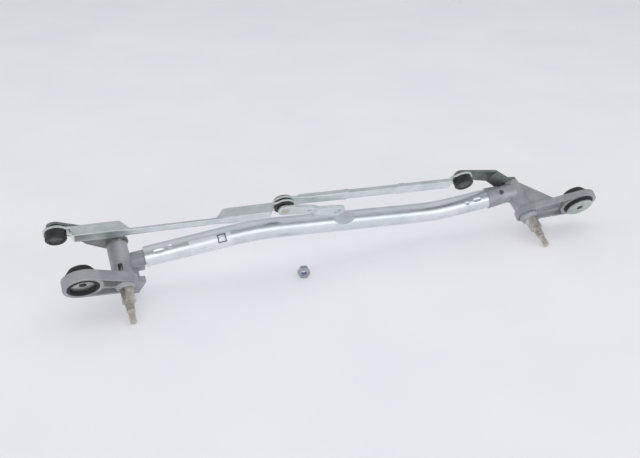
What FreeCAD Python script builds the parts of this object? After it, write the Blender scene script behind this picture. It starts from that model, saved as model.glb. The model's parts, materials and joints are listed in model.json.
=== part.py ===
import FreeCAD, Part
import math
import os
import Sketcher
from FreeCAD import Placement, Rotation, Vector

# Twin-pivot windscreen wiper linkage, supplied without its motor: two die-cast
# pivot housings on a bent steel tube, two spindles with levers, two link rods
# and the crank whose one ball stud they share.
#
# Everything is laid out in the linkage's own axes: x runs from the left spindle
# to the right one, z is the way the spindles point, and y crosses both. The
# whole set is then leant over so that it lies on its two spindle tips and the
# two housing feet, with the floor at z = 0 of the row frame.

doc = FreeCAD.newDocument("WiperLinkage")
sheet = doc.addObject("Spreadsheet::Sheet", "Sizes")

sizes = [
    # how the set lies, and where its middle is
    ("lean", 35, "spindles point this many degrees below level"),
    ("middle_x", 275.47, "middle of the set, from the left tip's zero"),
    ("middle_y", 46.515, "middle of the set, back from the tips"),
    # spindle places, in linkage axes
    ("left_tip_x", 4, "left spindle tip"),
    ("right_tip_x", 538, "right spindle tip"),
    ("left_tip_y", 2.11, "axis height that sets the left tip on the floor"),
    ("right_tip_y", 2.15, "axis height that sets the right tip on the floor"),
    ("tip_z", -1.7, "level of both spindle tips"),
    ("right_splay", 9, "outward splay of the right spindle, degrees"),
    # ball centres, in linkage axes
    ("left_ball_x", -64, "left lever ball"),
    ("left_ball_y", 52.5, ""),
    ("left_ball_z", -99, ""),
    ("crank_ball_x", 197, "ball stud on the crank"),
    ("crank_ball_y", 53, ""),
    ("crank_ball_z", -93.5, ""),
    ("far_ring_z", -97, "middle of the right link's eye, behind the ball's equator"),
    ("right_ball_x", 431, "right lever ball"),
    ("right_ball_y", 52.5, ""),
    ("right_ball_z", -87, ""),
    ("hub_x", 266, "crank hub"),
    ("hub_y", 34, ""),
    # spindle
    ("spindle_r", 5.5, "running radius of the spindle"),
    ("spindle_tail", 9, "spindle behind the boss, to its riveted end"),
    ("thread_r", 4, "M8 thread"),
    ("thread_len", 14, "threaded length"),
    ("serration_r", 4.7, "small end of the serrated cone"),
    ("serration_end", 24.5, "tip to the large end of the serrated cone"),
    ("ring_front", 25.4, "tip to the snap ring"),
    ("ring_thick", 1.2, "snap ring thickness"),
    ("ring_r", 7.2, "snap ring outer radius"),
    ("washer_thick", 1, "thrust washer thickness"),
    ("washer_r", 8, "thrust washer outer radius"),
    ("running_gap", 0.3, "axial play between moving faces"),
    ("bearing_gap", 0.05, "radial play of spindle in bush"),
    # housing boss
    ("nose_front", 28, "tip to the front of the steel bearing nose"),
    ("nose_end", 58, "tip to the back of the bearing nose, inside the boss"),
    ("nose_r", 7.7, "bearing nose outer radius"),
    ("boss_front", 46, "tip to the boss shoulder"),
    ("left_boss_back", 100, "tip to the back of the left boss"),
    ("right_boss_back", 96, "tip to the back of the right boss"),
    ("boss_r", 12, "boss radius"),
    ("bush_r", 6.7, "bush outer radius"),
    ("seal_len", 2, "lip seal length"),
    ("bush_len", 18, "bush length"),
    # mounting ears
    ("left_ear_thick", 12, "left ear depth"),
    ("right_ear_thick", 8, "right ear depth"),
    ("ear_wall", 3, "rib and web thickness"),
    ("left_ear_x", -43.5, "left ear centre"),
    ("left_ear_y", 17.5, ""),
    ("left_ear_z", -47, "front face of the left ear"),
    ("left_ear_r", 23, ""),
    ("left_hole_r", 18.3, ""),
    ("left_disc_r", 14.5, "sleeve flange radius, left"),
    ("left_disc_z", -51, "front of the sleeve flange, left"),
    ("right_ear_x", 603.8, "right ear centre"),
    ("right_ear_y", 8.9, ""),
    ("right_ear_z", -49, "front face of the right ear"),
    ("right_ear_r", 24.5, ""),
    ("right_hole_r", 20, ""),
    ("right_disc_r", 17.2, "sleeve flange radius, right"),
    ("right_disc_z", -43.5, "front of the sleeve flange, right"),
    ("disc_thick", 1.6, "sleeve flange thickness"),
    ("rubber_lip", 0.4, "rubber proud of the ear"),
    ("sleeve_r", 6.5, "sleeve outer radius"),
    ("sleeve_bore_r", 4.3, "clearance hole for an M8 screw"),
    ("left_dome_len", 11, "rubber dome behind the left ear"),
    ("right_dome_len", 11, "rubber dome behind the right ear"),
    ("dome_r", 13, "rubber dome end radius"),
    # legs that the housings stand on
    ("leg_front", -56, "front face of the legs"),
    ("leg_back", -64, "back face of the legs"),
    ("gusset_back", -84, "back of the left leg's gusset"),
    ("spigot_len", 26, "housing spigot inside the tube"),
    # frame tube
    ("tube_r", 12.5, "tube outer radius"),
    ("tube_wall", 1.5, ""),
    ("tube_z", -85, "level of the tube"),
    ("hollow_x", 282, "pressed hollow that clears the crank"),
    ("hollow_r", 28, "roll radius of the hollow"),
    ("hollow_floor", 11, "height of the hollow's floor"),
    ("crimp_depth", 1.0, "depth of the crimp marks"),
    ("label_thick", 0.2, ""),
    ("label_start", 86, ""),
    ("label_end", 134, ""),
    # levers
    ("lever_thick", 3.2, ""),
    ("lever_gap", 2.3, "boss to lever, filled by the back washer"),
    ("lever_room_r", 26, "room cleared behind the boss for the lever's hub"),
    ("left_lever_hub_r", 14, ""),
    ("left_lever_end_r", 8.6, ""),
    ("right_lever_hub_r", 11.5, ""),
    ("right_lever_end_r", 6.8, ""),
    # ball joints
    ("ball_r", 5.5, ""),
    ("cup_play", 0.08, "play of ball in cup"),
    ("neck_r", 3.6, "ball stud neck"),
    ("cup_r", 12, "socket outer radius"),
    ("cup_front", 6.4, "ball centre to the closed end of the socket"),
    ("cup_back", 3, "ball centre to the link"),
    ("cup_rim", 1.6, "bevel round the closed end"),
    ("strip", 2.5, "link strip thickness"),
    ("left_boot_len", 3.4, "rubber boot behind the left link"),
    ("right_boot_len", 1.8, "rubber boot behind the right link"),
    ("left_boot_room", 0.9, "boot to lever"),
    ("right_boot_room", 1.7, "boot to lever, for the tilt of the right link"),
    ("ring_out_r", 13.5, "link end ring, outer joints"),
    ("ring_hole_r", 10.2, ""),
    # crank
    ("crank_ball_r", 5, ""),
    ("open_play", 4.2, "room round the ball in the right link's socket"),
    ("shank_r", 3.5, "shank of the crank's ball stud"),
    ("crank_thick", 4.5, ""),
    ("crank_end_r", 8.6, ""),
    ("crank_hub_r", 9.6, ""),
    ("crank_bore_r", 4.8, "hub bore, for the motor's serrated shaft"),
    ("crank_hub_thick", 4, ""),
    ("crank_joggle", 2.5, ""),
    # loose arm nut
    ("nut_x", 218.4, "loose nut, across from the left tip's zero"),
    ("nut_y", 37, "loose nut, back from the tips"),
    ("nut_yaw", 15, "turn of the nut's axis, away from straight back"),
    ("nut_flats", 13.5, "across flats"),
    ("nut_tall", 8.5, ""),
    ("nut_collar", 1.6, "round collar behind the hexagon"),
    ("nut_ring_len", 2.4, "nylon ring and its rolled lip"),
    ("nut_bore_r", 3.4, "M8 thread core"),
]
for row, (alias, value, note) in enumerate(sizes, start=1):
    sheet.set("A%d" % row, note)
    sheet.set("B%d" % row, str(value))
    sheet.setAlias("B%d" % row, alias)
doc.recompute()


def size(alias):
    return float(sheet.get(alias))


def bound(expression):
    """A cell's name in the sheet, or a sum of them, as an expression."""
    words = []
    for word in expression.split():
        words.append("Sizes." + word if word[0].isalpha() else word)
    return " ".join(words)


def value_of(expression):
    return float(sheet.evalExpression(bound(expression)))


# ------------------------------------------------------------------ frames

lay = Placement(Vector(-size("middle_x"), -size("middle_y"), 0),
                Rotation(Vector(1, 0, 0), 90 + size("lean")))

left_spindle = Placement(Vector(size("left_tip_x"), size("left_tip_y"), size("tip_z")), Rotation())
right_spindle = Placement(Vector(size("right_tip_x"), size("right_tip_y"), size("tip_z")),
                          Rotation(Vector(0, 1, 0), size("right_splay")))

left_ball = Vector(size("left_ball_x"), size("left_ball_y"), size("left_ball_z"))
crank_ball = Vector(size("crank_ball_x"), size("crank_ball_y"), size("crank_ball_z"))
far_ring = Vector(size("crank_ball_x"), size("crank_ball_y"), size("far_ring_z"))
right_ball = Vector(size("right_ball_x"), size("right_ball_y"), size("right_ball_z"))


def frame_along(start, end, start_rise, end_rise):
    """A frame at start whose x runs to end, in a plane that passes this far above
    the first point and that far above the second. Returns it with the span."""
    span = end - start
    flat = Vector(span.x, span.y, 0)
    tilt = math.atan2(span.z, flat.Length) + math.asin((end_rise - start_rise) / span.Length)
    along = flat.normalize() * math.cos(tilt) + Vector(0, 0, 1) * math.sin(tilt)
    turn = Rotation(along, Vector(), Vector(0, 0, 1), "XZY")
    base = start + turn.multVec(Vector(0, 0, start_rise))
    far = end + turn.multVec(Vector(0, 0, end_rise))
    return Placement(base, turn), (far - base).Length


# ------------------------------------------------------------------ shapes

def finish(thing, label, frame):
    """Names a sub-part after its node and puts it in its place in the set."""
    thing.Label = label
    thing.Placement = lay.multiply(frame)
    nodes.append(thing)
    return thing


def primitive(kind, name, expressions, height="0"):
    """A Part primitive whose sizes, and height up its axis, follow the sheet."""
    thing = doc.addObject("Part::" + kind, name)
    for prop, expression in expressions.items():
        thing.setExpression(prop, bound(expression))
    thing.setExpression("Placement.Base.z", bound(height))
    return thing


def joined(name, things):
    fuse = doc.addObject("Part::MultiFuse", name)
    fuse.Shapes = things
    return fuse


def less(name, base, tool):
    cut = doc.addObject("Part::Cut", name)
    cut.Base = base
    cut.Tool = tool
    return cut


def turned(name, outline):
    """A body turned about z from corners given as radius and height in the sheet's names."""
    body = doc.addObject("PartDesign::Body", name)
    sketch = body.newObject("Sketcher::SketchObject", name + "Outline")
    plane = [p for p in body.Origin.OriginFeatures if p.Role == "XZ_Plane"][0]
    sketch.AttachmentSupport = [(plane, "")]
    sketch.MapMode = "FlatFace"
    corners = [Vector(value_of(r), value_of(z), 0) for r, z in outline]
    count = len(corners)
    for i in range(count):
        sketch.addGeometry(Part.LineSegment(corners[i], corners[(i + 1) % count]), False)
    for i in range(count):
        sketch.addConstraint(Sketcher.Constraint("Coincident", i, 2, (i + 1) % count, 1))
    for i, pair in enumerate(outline):
        for axis, expression in zip("XY", pair):
            place_corner(sketch, i, axis, expression)
    turn = body.newObject("PartDesign::Revolution", name + "Turn")
    turn.Profile = sketch
    turn.ReferenceAxis = (sketch, ["V_Axis"])
    turn.Angle = 360
    body.Tip = turn
    return body


def place_corner(sketch, corner, axis, expression):
    """Holds one corner's distance from the origin to the sheet."""
    distance = value_of(expression)
    if abs(distance) < 1e-9:
        line = -2 if axis == "X" else -1
        sketch.addConstraint(Sketcher.Constraint("PointOnObject", corner, 1, line))
        return
    kind = "Distance" + axis
    if distance > 0:
        number = sketch.addConstraint(Sketcher.Constraint(kind, -1, 1, corner, 1, distance))
        formula = bound(expression)
    else:
        number = sketch.addConstraint(Sketcher.Constraint(kind, corner, 1, -1, 1, -distance))
        formula = "-(" + bound(expression) + ")"
    word = "%s%d" % (axis.lower(), corner)
    sketch.renameConstraint(number, word)
    sketch.setExpression("Constraints." + word, formula)


def feature(name, shape):
    thing = doc.addObject("Part::Feature", name)
    thing.Shape = shape
    return thing


def round_hull(a, b):
    """The outline round two circles (x, y, radius), as a face at z = 0."""
    ax, ay, ar = a
    bx, by, br = b
    gap = math.hypot(bx - ax, by - ay)
    way = math.atan2(by - ay, bx - ax)
    lean = math.acos((ar - br) / gap)

    def at(circle, angle):
        return Vector(circle[0] + circle[2] * math.cos(angle), circle[1] + circle[2] * math.sin(angle), 0)

    back = Part.Arc(at(a, way + lean), at(a, way + math.pi), at(a, way - lean))
    front = Part.Arc(at(b, way - lean), at(b, way), at(b, way + lean))
    edges = [back.toShape(), Part.makeLine(at(a, way - lean), at(b, way - lean)),
             front.toShape(), Part.makeLine(at(b, way + lean), at(a, way + lean))]
    return Part.Face(Part.Wire(edges))


def slab(face, low, high):
    solid = face.extrude(Vector(0, 0, high - low))
    solid.translate(Vector(0, 0, low))
    return solid


def disc(x, y, radius, low, high):
    return Part.makeCylinder(radius, high - low, Vector(x, y, low))


def strip_of(stations, low, high):
    """A solid whose plan runs through circles (x, y, radius), one after the other."""
    pieces = [slab(round_hull(a, b), low, high) for a, b in zip(stations, stations[1:])]
    return pieces[0].multiFuse(pieces[1:]).removeSplitter()


def side_profile(corners, half_width):
    """A polygon in x and z, carried sideways both ways."""
    points = [Vector(x, -half_width, z) for x, z in corners]
    face = Part.Face(Part.makePolygon(points + points[:1]))
    return face.extrude(Vector(0, 2 * half_width, 0))


# ------------------------------------------------------------------ frame tube

def tube_path():
    """Straight runs joined by tangent arcs, in the plane of the tube."""
    level = size("tube_z")
    ends_and_bends = [(34, -6, 0), (165, 17.5, 190), (412, -14, 150), (484, -1.5, 0)]
    points = [Vector(x, y, level) for x, y, _ in ends_and_bends]
    edges = []
    here = points[0]
    for i in (1, 2):
        before = (points[i] - points[i - 1]).normalize()
        after = (points[i + 1] - points[i]).normalize()
        turn = before.getAngle(after)
        radius = ends_and_bends[i][2]
        reach = radius * math.tan(turn / 2)
        start = points[i] - before * reach
        end = points[i] + after * reach
        bisector = (after - before).normalize()
        crown = points[i] + bisector * (radius / math.cos(turn / 2) - radius)
        edges.append(Part.makeLine(here, start))
        edges.append(Part.Arc(start, crown, end).toShape())
        here = end
    edges.append(Part.makeLine(here, points[3]))
    return Part.Wire(edges)


def pipe(path, radius):
    start = path.Vertexes[0].Point
    way = path.Edges[0].tangentAt(path.Edges[0].FirstParameter)
    ring = Part.Wire(Part.makeCircle(radius, start, way))
    return path.makePipeShell([ring], True, False)


def frame_tube(path):
    """A bent tube with a pressed hollow that clears the crank, and crimp marks at its ends."""
    outer = pipe(path, size("tube_r"))
    inner = pipe(path, size("tube_r") - size("tube_wall"))
    roll = size("hollow_r")
    axis = Vector(size("hollow_x"), size("hollow_floor") + roll, size("tube_z") - 30)
    outer = outer.cut(Part.makeCylinder(roll, 60, axis))
    inner = inner.cut(Part.makeCylinder(roll + size("tube_wall"), 60, axis))
    tube = outer.cut(inner)
    # each mark: x, degrees round the tube, radius, length
    marks = [(45, 14, 5, 7), (62, 4, 4, 0), (452, 25, 4, 0), (463, 18, 4, 5), (47, 200, 5, 7), (461, 200, 5, 5)]
    for x, turn, radius, length in marks:
        tube = tube.cut(crimp(path, x, turn, radius, length))
    finish(feature("FrameTube", tube), "frame_tube", Placement())


def crimp(path, x, turn, radius, length):
    """The tool that presses a round-ended mark into the tube, this many degrees round from y."""
    start, end = on_tube(path, x), on_tube(path, x + max(length, 1))
    way = (end - start).normalize()
    out = Vector(0, math.cos(math.radians(turn)), math.sin(math.radians(turn)))
    start = start + out * (size("tube_r") + radius - size("crimp_depth"))
    ends = [Part.makeSphere(radius, start), Part.makeSphere(radius, start + way * length)]
    if length == 0:
        return ends[0]
    return Part.makeCylinder(radius, length, start, way).multiFuse(ends)


def on_tube(path, x):
    """The point of the tube's centre line at this x."""
    level = size("tube_z")
    rule = Part.makeLine(Vector(x, -200, level), Vector(x, 200, level))
    return path.distToShape(rule)[1][0][0]


def tube_label(path):
    """A thin label wrapped round the side of the tube that faces up."""
    outer = pipe(path, size("tube_r") + size("label_thick"))
    inner = pipe(path, size("tube_r"))
    start, end = size("label_start"), size("label_end")
    shell = outer.cut(inner)
    side = Part.makeBox(end - start, 60, 60, Vector(start, 0, -30))
    side.rotate(Vector(0, 0, 0), Vector(1, 0, 0), 38)
    middle = on_tube(path, (start + end) / 2)
    side.translate(Vector(0, middle.y - 2, middle.z))
    finish(feature("TubeLabel", shell.common(side)), "tube_label", Placement())


# ------------------------------------------------------------------ housings

def boss(side, spindle):
    """The cast boss with its coned shoulder, in linkage axes."""
    front, back = size("boss_front"), size(side + "_boss_back")
    body = Part.makeCylinder(size("boss_r"), back - front, Vector(0, 0, -back))
    collar = Part.makeCone(size("boss_r"), size("nose_r") + 1, 4, Vector(0, 0, -front))
    solid = body.fuse(collar)
    solid.Placement = spindle
    return solid


def bored(solid, side, spindle):
    """Cuts the bush bore and the nose's seat, and clears the room where the lever turns."""
    back = size(side + "_boss_back")
    bore = Part.makeCylinder(size("bush_r"), back, Vector(0, 0, -back))
    seat = Part.makeCylinder(size("nose_r"), size("nose_end"), Vector(0, 0, -size("nose_end")))
    room = Part.makeCylinder(size("lever_room_r"), 20, Vector(0, 0, -back - 20))
    bore = bore.multiFuse([seat, room])
    bore.Placement = spindle
    return solid.cut(bore)


def at_level(spindle, z):
    """Where a spindle's axis crosses this level."""
    way = spindle.Rotation.multVec(Vector(0, 0, 1))
    return spindle.Base + way * ((z - spindle.Base.z) / way.z)


def ear_centre(side):
    return Vector(size(side + "_ear_x"), size(side + "_ear_y"), 0)


def ear(side, root, root_r):
    """A ribbed ear: a ring for the rubber mount, joined to the boss by a webbed arm."""
    centre, outer_r = ear_centre(side), size(side + "_ear_r")
    front, thick = size(side + "_ear_z"), size(side + "_ear_thick")
    back = front - thick
    wall = size("ear_wall")
    arm = slab(round_hull((centre.x, centre.y, outer_r), (root.x, root.y, root_r)), back, front)
    pocket = slab(round_hull((centre.x, centre.y, outer_r - wall), (root.x, root.y, root_r - wall)),
                  back + wall, front + 1)
    keep = disc(centre.x, centre.y, outer_r, back, front)
    solid = arm.cut(pocket.cut(keep))
    way = root - centre
    way.z = 0
    rib = Part.makeBox(way.Length * 0.62, wall, thick, Vector(0, -wall / 2, 0))
    rib.rotate(Vector(0, 0, 0), Vector(0, 0, 1), math.degrees(math.atan2(way.y, way.x)))
    start = centre + way * 0.4
    rib.translate(Vector(start.x, start.y, back))
    return solid.fuse(rib)


def ear_hole(side):
    centre, front = ear_centre(side), size(side + "_ear_z")
    return disc(centre.x, centre.y, size(side + "_hole_r"), front - 2 * size(side + "_ear_thick"), front + 5)


def foot(corners, low, high):
    """A flat leg in the plane of the linkage."""
    points = [Vector(x, y, low) for x, y in corners]
    return Part.Face(Part.makePolygon(points + points[:1])).extrude(Vector(0, 0, high - low))


def under_floor():
    """Everything below the floor, in linkage axes."""
    block = Part.makeBox(2000, 2000, 300, Vector(-1000, -1000, -300))
    block.Placement = lay.inverse()
    return block


def left_housing(path):
    root = at_level(left_spindle, size("left_ear_z"))
    arm = ear("left", root, 15)
    start = path.Vertexes[0].Point
    way = path.Edges[0].tangentAt(path.Edges[0].FirstParameter)
    spigot = Part.makeCylinder(size("tube_r") - size("tube_wall"), size("spigot_len"), start, way)
    shoulder = Part.makeCylinder(9, 30, start - way * 28, way)
    tongue = Part.makeBox(24, 12, 8, Vector(root.x + 4, -16, size("tube_z") + 4))
    leg = foot([(-4, -6), (30, -13), (20, -47), (6, -47)], size("leg_back"), size("leg_front"))
    gusset = foot([(0, 0), (24, -13), (10, -26), (-4, -10)], size("gusset_back"), size("leg_front"))
    solid = boss("left", left_spindle).multiFuse([arm, spigot, shoulder, tongue, leg, gusset])
    window = Part.makeBox(5, 30, 9, Vector(root.x - 5, -2, -72))
    corner = Vector(root.x + 13, -1, size("tube_z") - 3)
    pocket = Part.makeBox(17, 11, 12, corner)
    pocket.rotate(corner, Vector(0, 0, 1), 10)
    for space in (ear_hole("left"), window, pocket, under_floor()):
        solid = solid.cut(space)
    solid = bored(solid, "left", left_spindle)
    finish(feature("LeftHousing", solid.removeSplitter()), "left_housing", Placement())


def right_housing(path):
    arm = ear("right", at_level(right_spindle, size("right_ear_z")), 16)
    end = path.Vertexes[-1].Point
    last = path.Edges[-1]
    way = last.tangentAt(last.LastParameter)
    length = size("spigot_len")
    spigot = Part.makeCylinder(size("tube_r") - size("tube_wall"), length, end - way * length, way)
    shoulder = Part.makeCone(13.5, 11, 40, end, way)
    leg = foot([(540, -2), (572, -4), (562, -47), (548, -47)], size("leg_back"), size("leg_front"))
    web = side_profile([(520, -96), (530, -98), (578, -60), (560, -52), (528, -52)], 5)
    web.translate(Vector(0, 4, 0))
    button = Part.makeCylinder(3.2, 20, Vector(512, 4, -92))
    solid = boss("right", right_spindle).multiFuse([arm, spigot, shoulder, leg, web, button])
    pit = Part.makeCylinder(3.2, 12, Vector(500, 6, -86), Vector(0, 1, 0.4))
    for space in (ear_hole("right"), pit, under_floor()):
        solid = solid.cut(space)
    solid = bored(solid, "right", right_spindle)
    finish(feature("RightHousing", solid.removeSplitter()), "right_housing", Placement())


def bushes_and_seal(side, spindle):
    """Two sintered bushes, the steel nose round the front one, and a lip seal."""
    front = "- nose_front - seal_len"
    for word, top in (("front", front), ("back", "- " + side + "_boss_back + bush_len")):
        name = side.capitalize() + word.capitalize() + "Bush"
        outline = [("bush_r", top), ("spindle_r + bearing_gap", top),
                   ("spindle_r + bearing_gap", top + " - bush_len"), ("bush_r", top + " - bush_len")]
        finish(turned(name, outline), "%s_%s_bush" % (side, word), spindle)
    outline = [("bush_r", "- nose_front"), ("nose_r - 0.6", "- nose_front"), ("nose_r", "- nose_front - 0.6"),
               ("nose_r", "- nose_end"), ("bush_r", "- nose_end")]
    finish(turned(side.capitalize() + "Nose", outline), side + "_bearing_nose", spindle)
    outline = [("bush_r", "- nose_front"), ("spindle_r + bearing_gap", "- nose_front"),
               ("spindle_r + bearing_gap", front), ("bush_r", front)]
    finish(turned(side.capitalize() + "Seal", outline), side + "_shaft_seal", spindle)


def rubber_mount(side):
    """A rubber grommet in the ear, and the flanged steel sleeve through it."""
    hole, flange = side + "_hole_r", side + "_disc_r"
    top, face = side + "_disc_z", side + "_ear_z"
    ear_back = face + " - " + side + "_ear_thick"
    end = ear_back + " - " + side + "_dome_len"
    place = Placement(Vector(size(side + "_ear_x"), size(side + "_ear_y"), 0), Rotation())
    seat = top + " - disc_thick"
    lip = face + " + rubber_lip"
    rubber = [("sleeve_r", seat), (flange, seat), (flange + " + 0.6", lip), (hole, lip), (hole, ear_back),
              ("left_hole_r + 0.7", ear_back), ("left_hole_r - 0.6", ear_back + " - 5"), ("dome_r", end),
              ("sleeve_r", end)]
    finish(turned(side.capitalize() + "Grommet", rubber), side + "_grommet", place)
    sleeve = [("sleeve_bore_r", top), (flange, top), (flange, seat), ("sleeve_r", seat),
              ("sleeve_r", end), ("sleeve_bore_r", end)]
    finish(turned(side.capitalize() + "Sleeve", sleeve), side + "_grommet_sleeve", place)


# ------------------------------------------------------------------ spindles

def spindle_set(side, spindle, ball, joggle_start):
    """Spindle, washers, snap ring, lever and ball stud: all that turns together."""
    title = side.capitalize()
    ring_back = "- ring_front - ring_thick"
    boss_back = "- " + side + "_boss_back"
    groove = "spindle_r - 0.7"
    outline = [("0", "0"), ("thread_r - 1", "0"), ("thread_r", "- 1"), ("thread_r", "- thread_len"),
               ("serration_r", "- thread_len"), ("spindle_r", "- serration_end"),
               ("spindle_r", "- ring_front"), (groove, "- ring_front"), (groove, ring_back),
               ("spindle_r", ring_back), ("spindle_r", boss_back + " - spindle_tail"),
               ("0", boss_back + " - spindle_tail")]
    finish(turned(title + "Spindle", outline), side + "_pivot_shaft", spindle)
    outline = [(groove, "- ring_front"), ("ring_r", "- ring_front"), ("ring_r", ring_back), (groove, ring_back)]
    finish(turned(title + "SnapRing", outline), side + "_snap_ring", spindle)
    washer_back = ring_back + " - washer_thick"
    outline = [("spindle_r", ring_back), ("washer_r", ring_back), ("washer_r", washer_back),
               ("spindle_r", washer_back)]
    finish(turned(title + "Washer", outline), side + "_thrust_washer", spindle)
    back_top, lever_front = boss_back + " - running_gap", boss_back + " - lever_gap"
    outline = [("spindle_r", back_top), ("boss_r - 1", back_top), ("boss_r - 1", lever_front),
               ("spindle_r", lever_front)]
    finish(turned(title + "BackWasher", outline), side + "_back_washer", spindle)
    lever(side, spindle, ball, joggle_start)


def lever(side, spindle, ball, joggle_start):
    """A stamped lever, joggled back at its ball end, with the stud riveted through it."""
    local = spindle.inverse().multVec(ball)
    reach = math.hypot(local.x, local.y)
    thick = size("lever_thick")
    front = -size(side + "_boss_back") - size("lever_gap")
    end_front = local.z - size("cup_back") - size("strip") - size(side + "_boot_len") - size(side + "_boot_room")
    stations = [(0, 0, size(side + "_lever_hub_r")), (reach, 0, size(side + "_lever_end_r"))]
    plan = strip_of(stations, -130, -90)
    ends = (joggle_start, joggle_start + 16)
    profile = [(-30, front), (ends[0], front), (ends[1], end_front), (reach + 30, end_front),
               (reach + 30, end_front - thick), (ends[1] - 1, end_front - thick),
               (ends[0] - 1, front - thick), (-30, front - thick)]
    plate = plan.common(side_profile(profile, 30))
    plate = plate.cut(disc(0, 0, size("spindle_r"), -130, -90))
    plate = plate.cut(disc(reach, 0, size("neck_r"), -130, -90))
    swing = Placement(Vector(), Rotation(Vector(0, 0, 1), math.degrees(math.atan2(local.y, local.x))))
    finish(feature(side.capitalize() + "Lever", plate.removeSplitter()), side + "_lever", spindle.multiply(swing))
    drop = local.z - end_front
    stud = ball_stud(side.capitalize() + "Stud", drop, thick)
    finish(stud, side + "_ball_stud", spindle.multiply(Placement(local, Rotation())))


def ball_stud(name, drop, thick):
    """A ball on a neck that goes through the lever and is riveted over behind it."""
    ball = primitive("Sphere", name + "Ball", {"Radius": "ball_r"})
    long, back = "%.4f" % (drop + thick), "%.4f" % (-drop - thick)
    neck = primitive("Cylinder", name + "Neck", {"Radius": "neck_r", "Height": long}, back)
    shoulder = primitive("Cylinder", name + "Shoulder", {"Radius": "neck_r + 1.6", "Height": "0.6"}, "%.4f" % -drop)
    head = primitive("Cone", name + "Head", {"Radius1": "neck_r", "Radius2": "neck_r + 2", "Height": "1.6"},
                     back + " - 1.6")
    return joined(name, [ball, neck, shoulder, head])


# ------------------------------------------------------------------ links

def outer_socket(name, label, frame, boot_len):
    """A closed cup snapped on the ball, with its rubber boot behind the link."""
    cup = primitive("Cylinder", name + "Cup", {"Radius": "cup_r", "Height": "cup_front + cup_back - cup_rim"},
                    "- cup_back")
    rim = primitive("Cone", name + "Rim", {"Radius1": "cup_r", "Radius2": "cup_r - cup_rim", "Height": "cup_rim"},
                    "cup_front - cup_rim")
    neck = primitive("Cylinder", name + "Neck", {"Radius": "ring_hole_r", "Height": "strip + 0.2"},
                     "- cup_back - strip - 0.2")
    ball = primitive("Sphere", name + "Ball", {"Radius": "ball_r + cup_play"})
    mouth = primitive("Cone", name + "Mouth", {"Radius1": "neck_r + 2.4", "Radius2": "neck_r + 1.4",
                                               "Height": "strip + 1"}, "- cup_back - strip - 1")
    dish = primitive("Cylinder", name + "Dish", {"Radius": "cup_r - 4.5", "Height": "2"}, "cup_front - 0.8")
    body, space = joined(name + "Body", [cup, rim, neck]), joined(name + "Space", [ball, mouth, dish])
    finish(less(name, body, space), label, frame)
    top = "- cup_back - strip - 0.2"
    end = "- cup_back - strip - " + boot_len
    boot = [("neck_r + 2.6", top), ("cup_r - 0.4", top), ("cup_r - 0.4", top + " - 0.8"),
            ("ring_hole_r - 1.6", end), ("neck_r + 1.6", end)]
    finish(turned(name + "Boot", boot), label.replace("socket", "boot"), frame)


def near_socket(name, label, frame):
    """The left link's socket, on the front half of the crank's ball."""
    ring = primitive("Cylinder", name + "Ring", {"Radius": "cup_r - 1.2", "Height": "1"}, "- 0.75")
    neck = primitive("Cylinder", name + "Neck", {"Radius": "ring_hole_r - 0.7", "Height": "strip"}, "0.25")
    lip = primitive("Cylinder", name + "Lip", {"Radius": "cup_r", "Height": "1.75"}, "2.75")
    ball = primitive("Sphere", name + "Ball", {"Radius": "crank_ball_r + cup_play"})
    mouth = primitive("Cone", name + "Mouth", {"Radius1": "shank_r + 0.2", "Radius2": "shank_r + 1.4", "Height": "2"},
                      "2.8")
    body, space = joined(name + "Body", [ring, neck, lip]), joined(name + "Space", [ball, mouth])
    finish(less(name, body, space), label, frame)


def far_socket(name, label, frame):
    """The right link's socket behind it, bored large: the linkage is left open here."""
    outline = [("0", "- 3.5"), ("cup_r - 1.6", "- 3.5"), ("cup_r - 0.4", "- 2.4"), ("cup_r - 0.4", "- 1.25"),
               ("ring_hole_r", "- 1.25"), ("ring_hole_r", "1.25"), ("crank_ball_r + open_play", "1.25"),
               ("crank_ball_r + open_play", "- 2.3"), ("0", "- 2.3")]
    finish(turned(name, outline), label, frame)


def link_bar(name, label, frame, half_widths, profile, hollows, eyes):
    """A pressed link: its plan and side view crossed, hollowed from behind, with an eye at each end."""
    plan = slab(band(half_widths), -20, 30)
    plan = plan.multiFuse([disc(x, 0, outer, -20, 30) for x, outer, _ in eyes])
    bar = plan.common(side_profile(profile, 30))
    for corners, low, high in hollows:
        bar = bar.cut(slab(band(corners), low, high))
    for x, _, hole in eyes:
        bar = bar.cut(disc(x, 0, hole, -20, 30))
    finish(feature(name, bar.removeSplitter()), label, frame)


def band(half_widths):
    """A flat outline that is the same on both sides of x, from stations (x, half width)."""
    near = [Vector(x, half, 0) for x, half in half_widths]
    far = [Vector(x, -half, 0) for x, half in reversed(half_widths)]
    return Part.Face(Part.makePolygon(near + far + near[:1]))


def left_link():
    half = size("strip") / 2
    outer_rise = -size("cup_back") - half
    inner_rise = 0.25 + half
    frame, span = frame_along(left_ball, crank_ball, outer_rise, inner_rise)
    face, bar, wall = 11, 8.6, 2.2
    widths = [(0, 9), (18, 7.4), (66, 7.8), (80, 5.6), (184, 5.4), (194, 7.4), (244, 7.6), (span, 9)]
    profile = [(-20, -half), (70, -half), (80, bar), (178, bar), (187, -half), (span + 20, -half),
               (span + 20, half), (span - 13.5, half), (span - 18, face), (19, face), (14.5, half), (-20, half)]
    hollows = [([(22, 5), (66, 5.4)], -2 * half, face - wall), ([(196, 5), (238, 5.2)], -2 * half, face - wall)]
    outer, hole = size("ring_out_r"), size("ring_hole_r")
    eyes = [(0, outer, hole), (span, outer - 0.9, hole - 0.7)]
    link_bar("LeftLink", "left_link_bar", frame, widths, profile, hollows, eyes)
    outer_socket("LeftOuterSocket", "left_link_outer_socket", frame.multiply(shifted(0, -outer_rise)),
                 "left_boot_len")
    near_socket("NearSocket", "left_link_inner_socket", frame.multiply(shifted(span, -inner_rise)))


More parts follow.
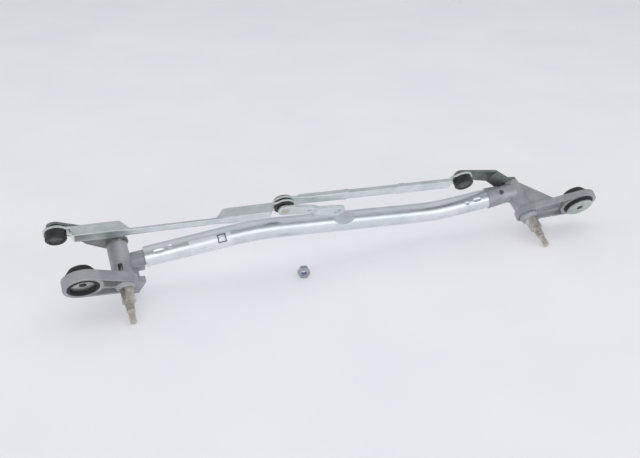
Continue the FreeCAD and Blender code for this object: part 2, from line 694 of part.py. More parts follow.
def right_link():
    half = size("strip") / 2
    outer_rise = -size("cup_back") - half
    frame, span = frame_along(far_ring, right_ball, 0, outer_rise)
    deep, wall = 4.8, 1.8
    start, end = (18, 1.6), (span - 18.5, 7)
    widths = [(0, 9), (20, 7.4), (74, 7.4), (76, 8.4), (80, 8.4), (82, 6.6), (145, 6.6), (147, 8.4), (152, 8.4),
              (154, 7.4), (span - 16, 7.4), (span, 9)]
    profile = [(-20, half), (14, half), start, end, (span - 13.5, half), (span + 20, half), (span + 20, -half),
               (span - 15.5, -half), (end[0] - 2, end[1] - deep), (start[0] + 2, start[1] - deep), (15.5, -half),
               (-20, -half)]
    slope = (end[1] - start[1]) / (end[0] - start[0])
    hollows = []
    for low_x, high_x, width in ((26, 72, 5), (86, 141, 4.4), (157, span - 26, 5)):
        floor = start[1] + slope * (low_x - start[0]) - wall
        hollows.append(([(low_x, width), (high_x, width)], -10, floor))
    eyes = [(0, size("ring_out_r") - 0.9, size("ring_hole_r")), (span, size("ring_out_r"), size("ring_hole_r"))]
    link_bar("RightLink", "right_link_bar", frame, widths, profile, hollows, eyes)
    far_socket("FarSocket", "right_link_inner_socket", frame)
    outer_socket("RightOuterSocket", "right_link_outer_socket", frame.multiply(shifted(span, -outer_rise)),
                 "right_boot_len")


def shifted(x, z):
    return Placement(Vector(x, 0, z), Rotation())


# ------------------------------------------------------------------ crank

def crank():
    """The motor crank and the ball stud riveted into its end."""
    hub = Vector(size("hub_x"), size("hub_y"), 0)
    pin = Vector(crank_ball.x, crank_ball.y, 0)
    back = crank_ball.z + size("crank_ball_r")
    reach = (hub - pin).Length
    turn = Rotation(Vector(0, 0, 1), math.degrees(math.atan2(hub.y - pin.y, hub.x - pin.x)))
    frame = Placement(Vector(pin.x, pin.y, back), turn)
    thick, step, hub_thick = size("crank_thick"), size("crank_joggle"), size("crank_hub_thick")
    plan = strip_of([(0, 0, size("crank_end_r")), (34, 0, 6.3), (reach, 0, size("crank_hub_r"))], -20, 30)
    profile = [(-20, 0), (38, 0), (43, step), (reach + 20, step), (reach + 20, step + hub_thick),
               (42, step + hub_thick), (37, thick), (-20, thick)]
    arm = plan.common(side_profile(profile, 30))
    arm = arm.cut(disc(0, 0, size("shank_r"), -1, thick + 1)).cut(disc(33, 0, 2.4, -1, thick + 1))
    arm = arm.cut(disc(reach, 0, size("crank_bore_r"), step - 1, step + hub_thick + 1))
    finish(feature("CrankArm", arm.removeSplitter()), "crank_arm", frame)
    ball = primitive("Sphere", "CrankBall", {"Radius": "crank_ball_r"})
    shank = primitive("Cylinder", "CrankShank", {"Radius": "shank_r", "Height": "crank_ball_r + crank_thick"})
    head = primitive("Cone", "CrankHead", {"Radius1": "shank_r + 1.5", "Radius2": "shank_r", "Height": "1.2"},
                     "crank_ball_r + crank_thick")
    finish(joined("CrankStud", [ball, shank, head]), "crank_ball_stud", Placement(crank_ball, Rotation()))


# ------------------------------------------------------------------ loose nut

def loose_nut():
    """A hexagon lock nut for the wiper arm, standing on a flat with its nylon ring at the back."""
    flats, tall, bore = size("nut_flats"), size("nut_tall"), size("nut_bore_r")
    hex_end = tall - size("nut_collar")
    ring_low = tall - size("nut_ring_len")
    washer_face = 0.5
    across = flats / math.sqrt(3)
    corners = []
    for angle in range(0, 360, 60):
        corner_at = math.radians(angle)
        corners.append(Vector(across * math.cos(corner_at), across * math.sin(corner_at), washer_face))
    hexagon = Part.Face(Part.makePolygon(corners + corners[:1])).extrude(Vector(0, 0, hex_end - washer_face))
    front = Part.makeCylinder(flats / 2 - 0.2, washer_face)
    collar = Part.makeCylinder(6.1, tall - ring_low, Vector(0, 0, ring_low))
    body = hexagon.multiFuse([front, collar])
    body = body.cut(Part.makeCylinder(bore, tall))
    seat = Vector(0, 0, ring_low)
    body = body.cut(Part.makeCylinder(4.9, 1.8, seat))
    body = body.cut(Part.makeCylinder(4.5, tall - ring_low, seat))
    yaw = math.radians(size("nut_yaw"))
    back = Vector(math.sin(yaw), math.cos(yaw), 0)
    middle = Vector(size("nut_x") - size("middle_x"), size("nut_y") - size("middle_y"), flats / 2)
    turn = Rotation(Vector(math.cos(yaw), -math.sin(yaw), 0), Vector(), back, "ZXY")
    place = Placement(middle - back * (tall / 2), turn)
    nut = finish(feature("LooseNut", body.removeSplitter()), "arm_nut", Placement())
    nut.Placement = place
    ring = Part.makeCylinder(4.9, 1.8, seat).cut(Part.makeCylinder(2.9, 1.8, seat))
    insert = finish(feature("NutInsert", ring), "arm_nut_insert", Placement())
    insert.Placement = place


# ------------------------------------------------------------------ build

nodes = []
centre_line = tube_path()
frame_tube(centre_line)
tube_label(centre_line)
left_housing(centre_line)
right_housing(centre_line)
for side, spindle in (("left", left_spindle), ("right", right_spindle)):
    bushes_and_seal(side, spindle)
    rubber_mount(side)
spindle_set("left", left_spindle, left_ball, 34)
spindle_set("right", right_spindle, right_ball, 16)
left_link()
right_link()
crank()
loose_nut()
doc.recompute()

for thing in doc.Objects:
    if "Invalid" in thing.State or "Error" in thing.State:
        raise RuntimeError("%s failed: %s" % (thing.Name, thing.State))
for node in nodes:
    if node.Shape.isNull() or not node.Shape.isValid():
        raise RuntimeError(node.Label + " has no valid shape")
    if not node.Shape.Solids:
        raise RuntimeError(node.Label + " has no solid")

os.makedirs("parts", exist_ok=True)
for node in nodes:
    node.Shape.exportStep("parts/%s.step" % node.Label)
    print(node.Label, len(node.Shape.Solids), "%.0f mm3" % node.Shape.Volume)

box = FreeCAD.BoundBox()
for node in nodes:
    box.add(node.Shape.BoundBox)
print("box", [round(v, 2) for v in (box.XMin, box.XMax, box.YMin, box.YMax, box.ZMin, box.ZMax)])
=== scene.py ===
import json
import math

import bpy
import numpy as np
from mathutils import Euler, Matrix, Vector


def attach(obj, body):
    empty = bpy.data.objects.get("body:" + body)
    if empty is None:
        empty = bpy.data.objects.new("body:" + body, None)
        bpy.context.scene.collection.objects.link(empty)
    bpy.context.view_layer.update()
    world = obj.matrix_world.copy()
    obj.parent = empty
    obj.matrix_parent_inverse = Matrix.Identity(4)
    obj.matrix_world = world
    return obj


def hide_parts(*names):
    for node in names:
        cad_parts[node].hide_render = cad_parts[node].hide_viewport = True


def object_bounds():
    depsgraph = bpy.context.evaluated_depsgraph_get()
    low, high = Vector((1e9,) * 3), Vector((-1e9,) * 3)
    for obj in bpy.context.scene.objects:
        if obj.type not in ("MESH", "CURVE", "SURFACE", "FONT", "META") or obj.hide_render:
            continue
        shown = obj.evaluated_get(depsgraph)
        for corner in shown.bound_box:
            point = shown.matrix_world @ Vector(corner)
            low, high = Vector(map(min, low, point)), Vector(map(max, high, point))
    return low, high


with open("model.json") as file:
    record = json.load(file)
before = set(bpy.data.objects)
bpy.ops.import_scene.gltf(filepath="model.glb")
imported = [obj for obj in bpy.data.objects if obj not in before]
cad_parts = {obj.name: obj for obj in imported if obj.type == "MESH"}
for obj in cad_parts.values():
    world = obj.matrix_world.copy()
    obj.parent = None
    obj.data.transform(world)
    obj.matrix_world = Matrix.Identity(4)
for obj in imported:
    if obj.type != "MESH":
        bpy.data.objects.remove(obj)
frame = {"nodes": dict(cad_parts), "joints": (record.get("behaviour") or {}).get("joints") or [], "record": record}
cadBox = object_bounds()
nodes = frame["nodes"]
joints = {joint["name"]: joint for joint in frame["joints"]}

mm = 0.001

# the set's own axes where it leans on the floor: its zero in metres, and which way its x, y and z run
leanDeg = 35
lean = math.radians(leanDeg)
setZero = np.array([-0.27547, -0.046515, 0.0])
setX = np.array([1.0, 0, 0])
setY = np.array([0, -math.sin(lean), math.cos(lean)])
setZ = np.array([0, -math.cos(lean), -math.sin(lean)])
leanTurn = (-math.radians(90 + leanDeg), 0, 0)    # turns object coordinates so that grain follows the lean


def linear(hexColour):
    # sRGB hex to the linear colour that the shaders take
    parts = [int(hexColour[i:i + 2], 16) / 255 for i in (1, 3, 5)]
    flat = [c / 12.92 if c <= 0.04045 else ((c + 0.055) / 1.055) ** 2.4 for c in parts]
    return (*flat, 1.0)


def grey(value):
    return (value, value, value, 1.0)


def add(tree, kind, settings=None, inputs=None):
    # one shader node with its settings, and for each input a link where it is given a socket, else a value;
    # stops are a colour ramp's places and colours
    node = tree.nodes.new(kind)
    for name, value in (settings or {}).items():
        if name == "stops":
            elements = node.color_ramp.elements
            while len(elements) < len(value):
                elements.new(0.5)
            for element, (place, colour) in zip(elements, value):
                element.position = place
                element.color = colour
        else:
            setattr(node, name, value)
    for name, value in (inputs or {}).items():
        if isinstance(value, bpy.types.NodeSocket):
            tree.links.new(value, node.inputs[name])
        else:
            node.inputs[name].default_value = value
    return node


def newMaterial(name):
    material = bpy.data.materials.new(name)
    material.use_nodes = True
    tree = material.node_tree
    tree.nodes.clear()
    shader = add(tree, "ShaderNodeBsdfPrincipled")
    add(tree, "ShaderNodeOutputMaterial", {}, {"Surface": shader.outputs["BSDF"]})
    return material, tree, shader


def mappedPlace(tree, scale, turn=(0, 0, 0)):
    # object coordinates, turned so that x runs along the part, then scaled
    place = add(tree, "ShaderNodeTexCoord")
    mapping = add(tree, "ShaderNodeMapping", {},
                  {"Vector": place.outputs["Object"], "Rotation": turn, "Scale": scale})
    return mapping.outputs["Vector"]


def surface(tree, shader, look, colour, wear, grain):
    # base colour, roughness between two values by the wear, and fine bump by the grain over eased edges
    low, high = look["roughness"]
    rough = add(tree, "ShaderNodeMapRange", {}, {"Value": wear, "To Min": low, "To Max": high})
    edge = add(tree, "ShaderNodeBevel", {"samples": 6}, {"Radius": look["edgeMm"] * mm})
    bump = add(tree, "ShaderNodeBump", {}, {
        "Height": grain, "Normal": edge.outputs["Normal"],
        "Strength": look["bump"], "Distance": look["bumpMm"] * mm})
    tree.links.new(colour, shader.inputs["Base Color"])
    tree.links.new(rough.outputs["Result"], shader.inputs["Roughness"])
    tree.links.new(bump.outputs["Normal"], shader.inputs["Normal"])


def metal(name, look):
    # bare or plated metal: a cloud between two tones, darkened along its grain, which also dulls it
    material, tree, shader = newMaterial(name)
    grainPlace = mappedPlace(tree, [1000 / s for s in look["grainMm"]], look.get("turn", (0, 0, 0)))
    blotchPlace = mappedPlace(tree, [1000 / look["blotchMm"]] * 3)
    grain = add(tree, "ShaderNodeTexNoise", {},
                {"Vector": grainPlace, "Scale": 1.0, "Detail": 6.0, "Roughness": 0.6}).outputs["Fac"]
    blotch = add(tree, "ShaderNodeTexNoise", {}, {
        "Vector": blotchPlace, "Scale": 1.0, "Detail": 4.0, "Roughness": 0.55, "Distortion": 0.4})
    colour = add(tree, "ShaderNodeValToRGB",
                 {"stops": [(0.32, linear(look["dark"])), (0.68, linear(look["light"]))]},
                 {"Fac": blotch.outputs["Fac"]})
    shade = add(tree, "ShaderNodeValToRGB", {"stops": [(0.3, grey(1 - look["streak"])), (0.7, grey(1.0))]},
                {"Fac": grain})
    mixed = add(tree, "ShaderNodeMix", {"data_type": "RGBA", "blend_type": "MULTIPLY"},
                {0: 1.0, 6: colour.outputs["Color"], 7: shade.outputs["Color"]})
    shader.inputs["Metallic"].default_value = look.get("metallic", 1.0)
    surface(tree, shader, look, mixed.outputs[2], grain, grain)
    return material


def polymer(name, look):
    # moulded rubber or plastic: a dusty bloom in patches, which also dulls it, and a fine moulded grain
    material, tree, shader = newMaterial(name)
    grain = add(tree, "ShaderNodeTexNoise", {},
                {"Vector": mappedPlace(tree, [1000 / look["grainMm"]] * 3), "Scale": 1.0, "Detail": 3.0})
    bloom = add(tree, "ShaderNodeTexNoise", {},
                {"Vector": mappedPlace(tree, [1000 / look["bloomMm"]] * 3), "Scale": 1.0, "Detail": 5.0})
    colour = add(tree, "ShaderNodeValToRGB",
                 {"stops": [(0.35, linear(look["dark"])), (0.75, linear(look["light"]))]},
                 {"Fac": bloom.outputs["Fac"]})
    surface(tree, shader, look, colour.outputs["Color"], bloom.outputs["Fac"], grain.outputs["Fac"])
    return material


# bright zinc plate on drawn steel tube: cool white, satin, with long draw lines and a faint cloud
drawnZinc = metal("zinc plated drawn steel", {
    "light": "#F0F4F6", "dark": "#DFE5E8", "grainMm": (60, 1.6, 1.6), "turn": leanTurn, "blotchMm": 30,
    "streak": 0.10, "roughness": (0.24, 0.36), "edgeMm": 0.5, "bump": 0.12, "bumpMm": 0.05})

# zinc plate on pressed strip: a greenish silver, a little cloudier than the tube
pressedZinc = metal("zinc plated pressed steel", {
    "light": "#F1F6F5", "dark": "#DCE5E3", "grainMm": (24, 1.4, 1.4), "turn": leanTurn, "blotchMm": 16,
    "streak": 0.12, "roughness": (0.25, 0.38), "edgeMm": 2.2, "bump": 0.15, "bumpMm": 0.06})

# yellow-green passivated zinc on the sleeve flanges, rubbed dull by handling
passivatedZinc = metal("passivated zinc plate", {
    "light": "#DCE3DE", "dark": "#B9C4BD", "grainMm": (2, 2, 2), "blotchMm": 9,
    "streak": 0.2, "roughness": (0.30, 0.46), "edgeMm": 0.6, "bump": 0.2, "bumpMm": 0.05})

# pressed steel left dark by its phosphate coat, duller than the plated pieces
phosphatedSteel = metal("phosphated pressed steel", {
    "light": "#A2A8A7", "dark": "#7E8484", "grainMm": (3, 3, 3), "blotchMm": 12,
    "streak": 0.18, "roughness": (0.38, 0.55), "edgeMm": 0.9, "bump": 0.2, "bumpMm": 0.05})

# die-cast aluminium, as cast: mid grey, matt, with a fine sandy skin and darker flow marks
dieCast = metal("die cast aluminium", {
    "light": "#C8CACC", "dark": "#AEB1B4", "grainMm": (0.9, 0.9, 0.9), "blotchMm": 22,
    "streak": 0.14, "roughness": (0.50, 0.68), "edgeMm": 1.2, "bump": 0.35, "bumpMm": 0.12, "metallic": 0.85})

# turned spindle steel: warm grey, with fine lathe marks round it
turnedSteel = metal("turned spindle steel", {
    "light": "#EAE6DE", "dark": "#C3BCB0", "grainMm": (4, 4, 0.35), "turn": leanTurn, "blotchMm": 6,
    "streak": 0.2, "roughness": (0.28, 0.45), "edgeMm": 0.25, "bump": 0.2, "bumpMm": 0.04})

# the loose nut's zinc plate, handled and greyer than the set's
greyedZinc = metal("greyed zinc plate", {
    "light": "#CDD1D6", "dark": "#A6ABB1", "grainMm": (1.5, 1.5, 1.5), "blotchMm": 4,
    "streak": 0.2, "roughness": (0.28, 0.42), "edgeMm": 0.7, "bump": 0.2, "bumpMm": 0.05})

# sintered bronze bushes: brown gold, porous and matt
sinteredBronze = metal("sintered bronze", {
    "light": "#B08D57", "dark": "#8A6B3E", "grainMm": (0.5, 0.5, 0.5), "blotchMm": 5,
    "streak": 0.2, "roughness": (0.45, 0.6), "edgeMm": 0.2, "bump": 0.3, "bumpMm": 0.04})

# moulded natural rubber: near black, matt, with a slight grey bloom
mouldedRubber = polymer("moulded rubber", {
    "dark": "#141416", "light": "#2B2C2F", "grainMm": 0.8, "bloomMm": 9, "roughness": (0.5, 0.72),
    "edgeMm": 0.8, "bump": 0.3, "bumpMm": 0.06})

# moulded acetal sockets: black, with the soft sheen of a filled plastic
mouldedAcetal = polymer("moulded acetal", {
    "dark": "#18181A", "light": "#2A2B2E", "grainMm": 1.2, "bloomMm": 7, "roughness": (0.30, 0.42),
    "edgeMm": 0.9, "bump": 0.12, "bumpMm": 0.04})

# the flat centres of the sockets, a lighter grey than the black sockets round them
lighterCentreAcetal = polymer("light grey acetal", {
    "dark": "#3F4043", "light": "#66676B", "grainMm": 0.9, "bloomMm": 4, "roughness": (0.35, 0.5),
    "edgeMm": 0.4, "bump": 0.2, "bumpMm": 0.04})

# moulded blue nylon of the nut's locking ring: saturated, with a soft sheen
blueNylon = polymer("blue nylon", {
    "dark": "#5360D0", "light": "#8C96F2", "grainMm": 0.8, "bloomMm": 3, "roughness": (0.3, 0.45),
    "edgeMm": 0.3, "bump": 0.1, "bumpMm": 0.03})

finishes = {
    "zinc": drawnZinc, "link_zinc": pressedZinc, "spindle_steel": turnedSteel, "lever_steel": phosphatedSteel,
    "die_cast": dieCast, "sintered": sinteredBronze, "black_rubber": mouldedRubber,
    "black_plastic": mouldedAcetal, "nylon": blueNylon,
}
ownFinishes = {
    "left_grommet_sleeve": passivatedZinc, "right_grommet_sleeve": passivatedZinc, "arm_nut": greyedZinc,
}
slots = {part["node"]: part["material_slot"] for part in frame["record"]["subparts"]}
for node, thing in nodes.items():
    finish = ownFinishes.get(node, finishes.get(slots[node]))
    if finish:
        for slot in thing.material_slots:
            slot.material = finish
        if not thing.material_slots:
            thing.data.materials.append(finish)
print("materials on", len(nodes), "nodes")


def unit(v):
    return v / np.linalg.norm(v)


def squareAxes(z):
    # three square directions, with the given z, and x as near the row's x as it goes
    x = unit(np.array([1.0, 0, 0]) - z * z[0])
    return np.array([x, np.cross(z, x), z])


def gridPiece(name, points, material, closedAround=True, poles=None, uv=None):
    # a mesh from a grid of points, rows along the first index and round the second, closed by a fan of
    # triangles to a pole before the first row and after the last where poles are given
    rows, columns = points.shape[:2]
    last = columns if closedAround else columns - 1
    r, c = np.meshgrid(np.arange(rows - 1), np.arange(last), indexing="ij")
    nextC = (c + 1) % columns
    quads = np.stack([r * columns + c, r * columns + nextC, (r + 1) * columns + nextC, (r + 1) * columns + c], -1)
    places, faces = points.reshape(-1, 3), quads.reshape(-1, 4).tolist()
    if poles is not None:
        first = np.arange(columns)
        following = (first + 1) % columns
        end = (rows - 1) * columns
        faces += np.stack([np.full(columns, rows * columns), following, first], -1).tolist()
        faces += np.stack([end + first, end + following, np.full(columns, rows * columns + 1)], -1).tolist()
        places = np.concatenate([places, poles])
    mesh = bpy.data.meshes.new(name)
    mesh.from_pydata(places.tolist(), [], faces)
    if uv is not None:
        layer = mesh.uv_layers.new(name="label")
        corners = np.empty(len(mesh.loops), dtype=np.int32)
        mesh.loops.foreach_get("vertex_index", corners)
        layer.data.foreach_set("uv", uv.reshape(-1, 2)[corners].ravel())
    mesh.materials.append(material)
    mesh.shade_smooth()
    mesh.update()
    piece = bpy.data.objects.new(name, mesh)
    bpy.context.scene.collection.objects.link(piece)
    return piece


def turnedPiece(name, point, axes, profile, material, steps, shape=None):
    # profile (radius, height) in mm carried round the axis, from a pole on the axis at its top, down its
    # outside, to a pole on the axis at its bottom; shape(radius, height, angle) may vary the radius
    poles = [point + axes[2] * profile[end][1] * mm for end in (0, -1)]
    radius, height = [np.array(v, float)[:, None] * mm for v in zip(*profile[1:-1])]
    angle = np.linspace(2 * np.pi, 0, steps, endpoint=False)[None, :]
    radius = radius + 0 * angle if shape is None else shape(radius, height, angle)
    height = height + 0 * angle
    points = (point + radius[..., None] * np.cos(angle)[..., None] * axes[0]
              + radius[..., None] * np.sin(angle)[..., None] * axes[1] + height[..., None] * axes[2])
    return gridPiece(name, points, material, poles=poles)


spindleLook = {
    "endMm": {"left": 109, "right": 105},       # whole lengths
    "bodyR": 5.5, "endR": 5.1, "endFaceR": 3.0, "chamferMm": 0.6,
    "tip": [(0, 0), (2.2, 0), (2.9, 0.02)],     # radius and depth down to the thread
    "threadR": 4.02, "threadMm": (0.3, 14.0), "leadR": 3.2, "leadSlope": 0.9, "threadRows": 190,
    "pitchMm": 1.25, "pitchDepthMm": 0.62, "cutMm": (0.3, 13.9), "cutGain": 1.25, "crest": 0.12,
    "coneR": (4.7, 5.5), "coneMm": (14.05, 24.5), "coneFromMm": 14.0, "coneRunMm": 10.5, "coneRows": 40,
    "flutes": 40, "fluteMm": 0.32, "flutedMm": (14.4, 24.2),
    "groove": [(5.5, 24.7), (5.5, 25.4), (4.8, 25.42), (4.8, 26.58), (5.5, 26.6)],
    "bodyRowsMm": (29, 60), "around": 320,
}


def spindleProfile(end):
    # tip, then the thread's cylinder behind a short lead, a cone, the snap ring's groove, and the plain body
    look = spindleLook
    outline = list(look["tip"])
    for depth in np.linspace(*look["threadMm"], look["threadRows"]):
        outline.append((min(look["threadR"], look["leadR"] + depth * look["leadSlope"]), depth))
    small, large = look["coneR"]
    for depth in np.linspace(*look["coneMm"], look["coneRows"]):
        outline.append((small + (large - small) * (depth - look["coneFromMm"]) / look["coneRunMm"], depth))
    outline += look["groove"] + [(look["bodyR"], depth) for depth in look["bodyRowsMm"]]
    outline += [(look["bodyR"], end - look["chamferMm"]), (look["endR"], end), (look["endFaceR"], end), (0, end)]
    return [(radius, -depth) for radius, depth in outline]


def spindleShape(radius, height, angle):
    # the thread lowers the radius by a triangle wave of depth over pitch plus angle, with its crests cut
    # flat; the flutes lower it by a cosine of the angle
    look = spindleLook
    depth = -height / mm
    phase = (depth / look["pitchMm"] + angle / (2 * np.pi)) % 1
    wave = np.abs(phase - 0.5) * 2
    onThread = (depth > look["cutMm"][0]) & (depth < look["cutMm"][1])
    cut = look["pitchDepthMm"] * mm * np.clip(wave * look["cutGain"] - look["crest"], 0, 1) * onThread
    onCone = (depth > look["flutedMm"][0]) & (depth < look["flutedMm"][1])
    flute = look["fluteMm"] * mm * (0.5 - 0.5 * np.cos(angle * look["flutes"])) * onCone
    return radius - np.minimum(cut, radius * 0.4) - flute


for side in ("left", "right"):
    turn = joints[side + "_spindle_turn"]
    shaft = turnedPiece(side + "_threaded_spindle", np.array(turn["pos_m"], float),
                        squareAxes(unit(np.array(turn["axis"], float))),
                        spindleProfile(spindleLook["endMm"][side]), turnedSteel,
                        steps=spindleLook["around"], shape=spindleShape)
    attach(shaft, side + "_spindle")
    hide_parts(side + "_pivot_shaft")
print("spindles threaded")


socketLook = {
    "seatMm": 5.58,       # from the ball's centre out to the dish
    # radius and height over the dish: a middle boss, a moulded ring and a thin flange, closed underneath
    "profile": [(0, 0.75), (1.2, 0.75), (1.5, 0.35), (3.6, 0.3), (4.0, 0.75), (4.8, 0.75), (5.2, 0.3),
                (7.0, 0.25), (7.3, 0.02), (7.2, -0.02), (0, -0.02)],
    "around": 64,
}


def socketFacing(side):
    # the ball's centre and square directions of a link's closed socket, whose axis is the direction of its
    # own spread that lies nearest the set's z
    point = np.array(joints[side + "_link_swing"]["pos_m"], float)
    mesh = nodes[side + "_link_outer_socket"].data
    places = np.empty(len(mesh.vertices) * 3)
    mesh.vertices.foreach_get("co", places)
    places = places.reshape(-1, 3)
    spread = places - places.mean(0)
    facing = max(np.linalg.eigh(spread.T @ spread)[1].T, key=lambda way: abs(way @ setZ))
    return point, squareAxes(facing * np.sign(facing @ setZ))


for side in ("left", "right"):
    point, axes = socketFacing(side)
    profile = [(radius, socketLook["seatMm"] + height) for radius, height in socketLook["profile"]]
    disc = turnedPiece(side + "_socket_centre", point, axes, profile, lighterCentreAcetal, steps=socketLook["around"])
    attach(disc, side + "_link")
print("socket centres set")


labelLook = {
    "film": "#E6E9EC", "ink": "#4C5158", "roughness": 0.32, "metallic": 0.6,
    "startMm": 52.8, "lengthMm": 50.0, "aroundDeg": (4, 108), "proudMm": 0.24, "filmMm": 0.2, "grid": (120, 60),
    "squareMm": 10.5, "squareAtMm": (39.0, 5.4), "lineMm": 1.7, "lineInk": 0.85,
    "cellMm": 1.1, "emptyCells": 0.6, "cellInk": 0.4,
    "rowsAtMm": (15.0, 12.0), "rowsHalfMm": (11.0, 3.4), "rowMm": 3.4, "rowMiddle": 0.45, "rowHalf": 0.15,
    "rowGaps": 0.3, "rowInk": 0.3,
}


def printedLabel():
    # thin film that lets the metal shine through, printed with a square outline, random cells inside it and
    # faint rows of broken grey bars, all from its own map in mm
    look = labelLook
    material, tree, shader = newMaterial("printed film label")
    place = add(tree, "ShaderNodeUVMap", {"uv_map": "label"}).outputs["UV"]
    scaled = add(tree, "ShaderNodeVectorMath", {"operation": "DIVIDE"},
                 {0: place, 1: (look["cellMm"], look["cellMm"], 1)})
    cell = add(tree, "ShaderNodeVectorMath", {"operation": "FLOOR"}, {0: scaled.outputs["Vector"]})
    chance = add(tree, "ShaderNodeTexWhiteNoise", {"noise_dimensions": "2D"},
                 {"Vector": cell.outputs["Vector"]}).outputs["Value"]

    # how far a point is from the middle of the square and of the block of rows, by its larger side
    reaches = []
    for middle, size in ((look["squareAtMm"], (1, 1)), (look["rowsAtMm"], look["rowsHalfMm"])):
        offset = add(tree, "ShaderNodeVectorMath", {"operation": "SUBTRACT"}, {0: place, 1: (*middle, 0)})
        share = add(tree, "ShaderNodeVectorMath", {"operation": "DIVIDE"},
                    {0: offset.outputs["Vector"], 1: (*size, 1)})
        away = add(tree, "ShaderNodeVectorMath", {"operation": "ABSOLUTE"}, {0: share.outputs["Vector"]})
        sides = add(tree, "ShaderNodeSeparateXYZ", {}, {"Vector": away.outputs["Vector"]})
        reaches.append(add(tree, "ShaderNodeMath", {"operation": "MAXIMUM"},
                           {0: sides.outputs["X"], 1: sides.outputs["Y"]}).outputs[0])
    fromSquare, fromRows = reaches

    half = look["squareMm"] / 2
    across = add(tree, "ShaderNodeSeparateXYZ", {}, {"Vector": place}).outputs["Y"]
    steps = [
        ("whole", "LESS_THAN", fromSquare, half), ("heart", "LESS_THAN", fromSquare, half - look["lineMm"]),
        ("edge", "SUBTRACT", "whole", "heart"), ("edgeInk", "MULTIPLY", "edge", look["lineInk"]),
        ("filled", "GREATER_THAN", chance, look["emptyCells"]), ("speckle", "MULTIPLY", "heart", "filled"),
        ("speckleInk", "MULTIPLY", "speckle", look["cellInk"]),
        ("block", "LESS_THAN", fromRows, 1.0), ("turns", "DIVIDE", across, look["rowMm"]),
        ("inRow", "FRACT", "turns", 0.0), ("fromRow", "SUBTRACT", "inRow", look["rowMiddle"]),
        ("near", "ABSOLUTE", "fromRow", 0.0), ("row", "LESS_THAN", "near", look["rowHalf"]),
        ("bar", "GREATER_THAN", chance, look["rowGaps"]), ("bars", "MULTIPLY", "row", "bar"),
        ("shown", "MULTIPLY", "bars", "block"), ("barInk", "MULTIPLY", "shown", look["rowInk"]),
        ("squareInk", "ADD", "speckleInk", "edgeInk"), ("ink", "ADD", "squareInk", "barInk"),
    ]
    made = {}
    for name, operation, *sources in steps:
        inputs = {i: made[value] if isinstance(value, str) else value for i, value in enumerate(sources)}
        made[name] = add(tree, "ShaderNodeMath", {"operation": operation}, inputs).outputs[0]
    colour = add(tree, "ShaderNodeValToRGB",
                 {"stops": [(0.0, linear(look["film"])), (1.0, linear(look["ink"]))]}, {"Fac": made["ink"]})
    tree.links.new(colour.outputs["Color"], shader.inputs["Base Color"])
    shader.inputs["Roughness"].default_value = look["roughness"]
    shader.inputs["Metallic"].default_value = look["metallic"]
    return material


# the tube's first run and bend in the set's own x and y, and how far along its z it lies, all in mm
tubeLook = {"start": (34.0, -6.0), "corner": (165.0, 17.5), "next": (412.0, -14.0), "bendR": 190.0,
            "level": -85.0, "radius": 12.5}


def tubeLine(distance):
    # points and directions along the tube's centre line: straight, then an arc tangent to it
    start, corner, after = [np.array(tubeLook[k]) for k in ("start", "corner", "next")]
    first, second = unit(corner - start), unit(after - corner)
    bend = math.atan2(first[0] * second[1] - first[1] * second[0], first @ second)
    straight = np.linalg.norm(corner - start) - tubeLook["bendR"] * math.tan(abs(bend) / 2)
    inward = np.array([-first[1], first[0]]) * np.sign(bend)
    angle = np.clip(distance - straight, 0, None) / tubeLook["bendR"]
    along = np.minimum(distance, straight) + tubeLook["bendR"] * np.sin(angle)
    across = tubeLook["bendR"] * (1 - np.cos(angle))
    points = start + along[:, None] * first + across[:, None] * inward
    ways = np.cos(angle)[:, None] * first + np.sin(angle)[:, None] * inward
    return points, ways


def tubeLabel():
    # film wrapped on the tube: a circle's arc a little over the tube's radius, carried along its centre line
    rows, columns = labelLook["grid"]
    distance = np.linspace(labelLook["startMm"], labelLook["startMm"] + labelLook["lengthMm"], rows)
    turn = np.radians(np.linspace(*labelLook["aroundDeg"], columns))
    points, ways = tubeLine(distance)
    centre = setZero + mm * (points[:, :1] * setX + points[:, 1:] * setY + tubeLook["level"] * setZ)
    sideways = -ways[:, 1:] * setX + ways[:, :1] * setY
    reach = (tubeLook["radius"] + labelLook["proudMm"]) * mm
    skin = centre[:, None] + reach * (np.cos(turn)[None, :, None] * sideways[:, None]
                                      + np.sin(turn)[None, :, None] * setZ)
    u, v = np.meshgrid(distance - distance[0], (turn - turn[0]) * tubeLook["radius"], indexing="ij")
    piece = gridPiece("tube_film_label", skin, printedLabel(), closedAround=False, uv=np.stack([u, v], -1))
    film = piece.modifiers.new("film", "SOLIDIFY")
    film.thickness, film.offset = labelLook["filmMm"] * mm, -1
    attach(piece, "frame")
    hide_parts("tube_label")


tubeLabel()
print("label wrapped")


floorLook = {"light": "#E9E8EB", "dark": "#E5E4E8", "cloudPerM": 6, "roughness": 0.62, "sizeM": 14.0,
             "gapM": 0.0002}


def studioFloor():
    # matt paper with a very faint cloud, a hair below the lowest solid
    material, tree, shader = newMaterial("matt paper sweep")
    place = mappedPlace(tree, [floorLook["cloudPerM"]] * 3)
    cloud = add(tree, "ShaderNodeTexNoise", {}, {"Vector": place, "Scale": 1.0, "Detail": 2.0})
    colour = add(tree, "ShaderNodeValToRGB",
                 {"stops": [(0.3, linear(floorLook["dark"])), (0.7, linear(floorLook["light"]))]},
                 {"Fac": cloud.outputs["Fac"]})
    tree.links.new(colour.outputs["Color"], shader.inputs["Base Color"])
    shader.inputs["Roughness"].default_value = floorLook["roughness"]
    half = floorLook["sizeM"] / 2
    mesh = bpy.data.meshes.new("floor")
    mesh.from_pydata([(-half, -half, 0), (half, -half, 0), (half, half, 0), (-half, half, 0)], [], [(0, 1, 2, 3)])
    mesh.materials.append(material)
    floor = bpy.data.objects.new("floor", mesh)
    floor.location.z = cadBox[0][2] - floorLook["gapM"]
    bpy.context.scene.collection.objects.link(floor)


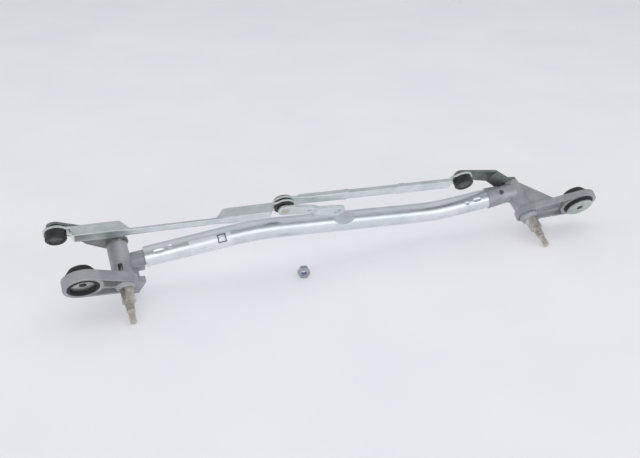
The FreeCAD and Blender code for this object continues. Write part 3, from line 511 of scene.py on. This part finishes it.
lightLook = {
    "tint": "#F0F2F8",
    # strength of the room by height: 0 is level in front, 0.5 straight overhead, 1 level behind
    "bands": [(0.0, 1.04), (0.04, 1.62), (0.12, 1.66), (0.18, 0.94), (0.25, 0.37), (0.38, 0.39), (0.47, 0.65),
              (0.56, 0.76), (0.72, 0.70), (0.86, 0.54), (1.0, 0.64)],
    "brightest": 2,       # a ramp's colours stop at 1, so the strengths are divided by this and raised after it
    "overheadAt": (-0.1, -0.55, 2.5), "overheadAim": (0, -0.35, 0), "overheadSizeM": (4.6, 3.6),
    "overheadWatts": 52,
}


def roomLight():
    # a room of level bands, bright low in front, dim above the camera and milder overhead and behind
    world = bpy.data.worlds.new("soft room")
    world.use_nodes = True
    tree = world.node_tree
    way = add(tree, "ShaderNodeTexCoord").outputs["Generated"]
    split = add(tree, "ShaderNodeSeparateXYZ", {}, {"Vector": way})
    front = add(tree, "ShaderNodeMath", {"operation": "MULTIPLY"}, {0: split.outputs["Y"], 1: -1})
    height = add(tree, "ShaderNodeMath", {"operation": "ARCTAN2"}, {0: split.outputs["Z"], 1: front.outputs[0]})
    share = add(tree, "ShaderNodeMath", {"operation": "DIVIDE"}, {0: height.outputs[0], 1: math.pi})
    stops = [(place, grey(value / lightLook["brightest"])) for place, value in lightLook["bands"]]
    glow = add(tree, "ShaderNodeValToRGB", {"stops": stops}, {"Fac": share.outputs[0]})
    strength = add(tree, "ShaderNodeMath", {"operation": "MULTIPLY"},
                   {0: glow.outputs["Color"], 1: lightLook["brightest"]})
    background = tree.nodes["Background"]
    background.inputs["Color"].default_value = linear(lightLook["tint"])
    tree.links.new(strength.outputs[0], background.inputs["Strength"])
    bpy.context.scene.world = world


def overheadLight():
    # a wide soft panel that lifts the floor, with no reflection and no shadow of its own
    data = bpy.data.lights.new("overhead", "AREA")
    data.shape = "RECTANGLE"
    data.size, data.size_y = lightLook["overheadSizeM"]
    data.energy = lightLook["overheadWatts"]
    data.use_shadow = False
    light = bpy.data.objects.new("overhead", data)
    place, aim = Vector(lightLook["overheadAt"]), Vector(lightLook["overheadAim"])
    light.location = place
    light.rotation_euler = (aim - place).to_track_quat("-Z", "Y").to_euler()
    light.visible_glossy = False
    bpy.context.scene.collection.objects.link(light)


cameraLook = {"place": (-0.38675, -0.96175, 0.57850), "azimuthDeg": -20.2145, "downDeg": 27.0, "lensMm": 53.44,
              "sensorMm": 36}


def mainCamera():
    data = bpy.data.cameras.new("main")
    data.sensor_width = cameraLook["sensorMm"]
    data.lens = cameraLook["lensMm"]
    camera = bpy.data.objects.new("main", data)
    camera.location = cameraLook["place"]
    camera.rotation_euler = Euler((math.radians(90 - cameraLook["downDeg"]), 0,
                                   math.radians(cameraLook["azimuthDeg"])))
    bpy.context.scene.collection.objects.link(camera)
    bpy.context.scene.camera = camera


studioFloor()
roomLight()
overheadLight()
mainCamera()
bpy.context.scene.view_settings.view_transform = "Standard"
print("stage set")
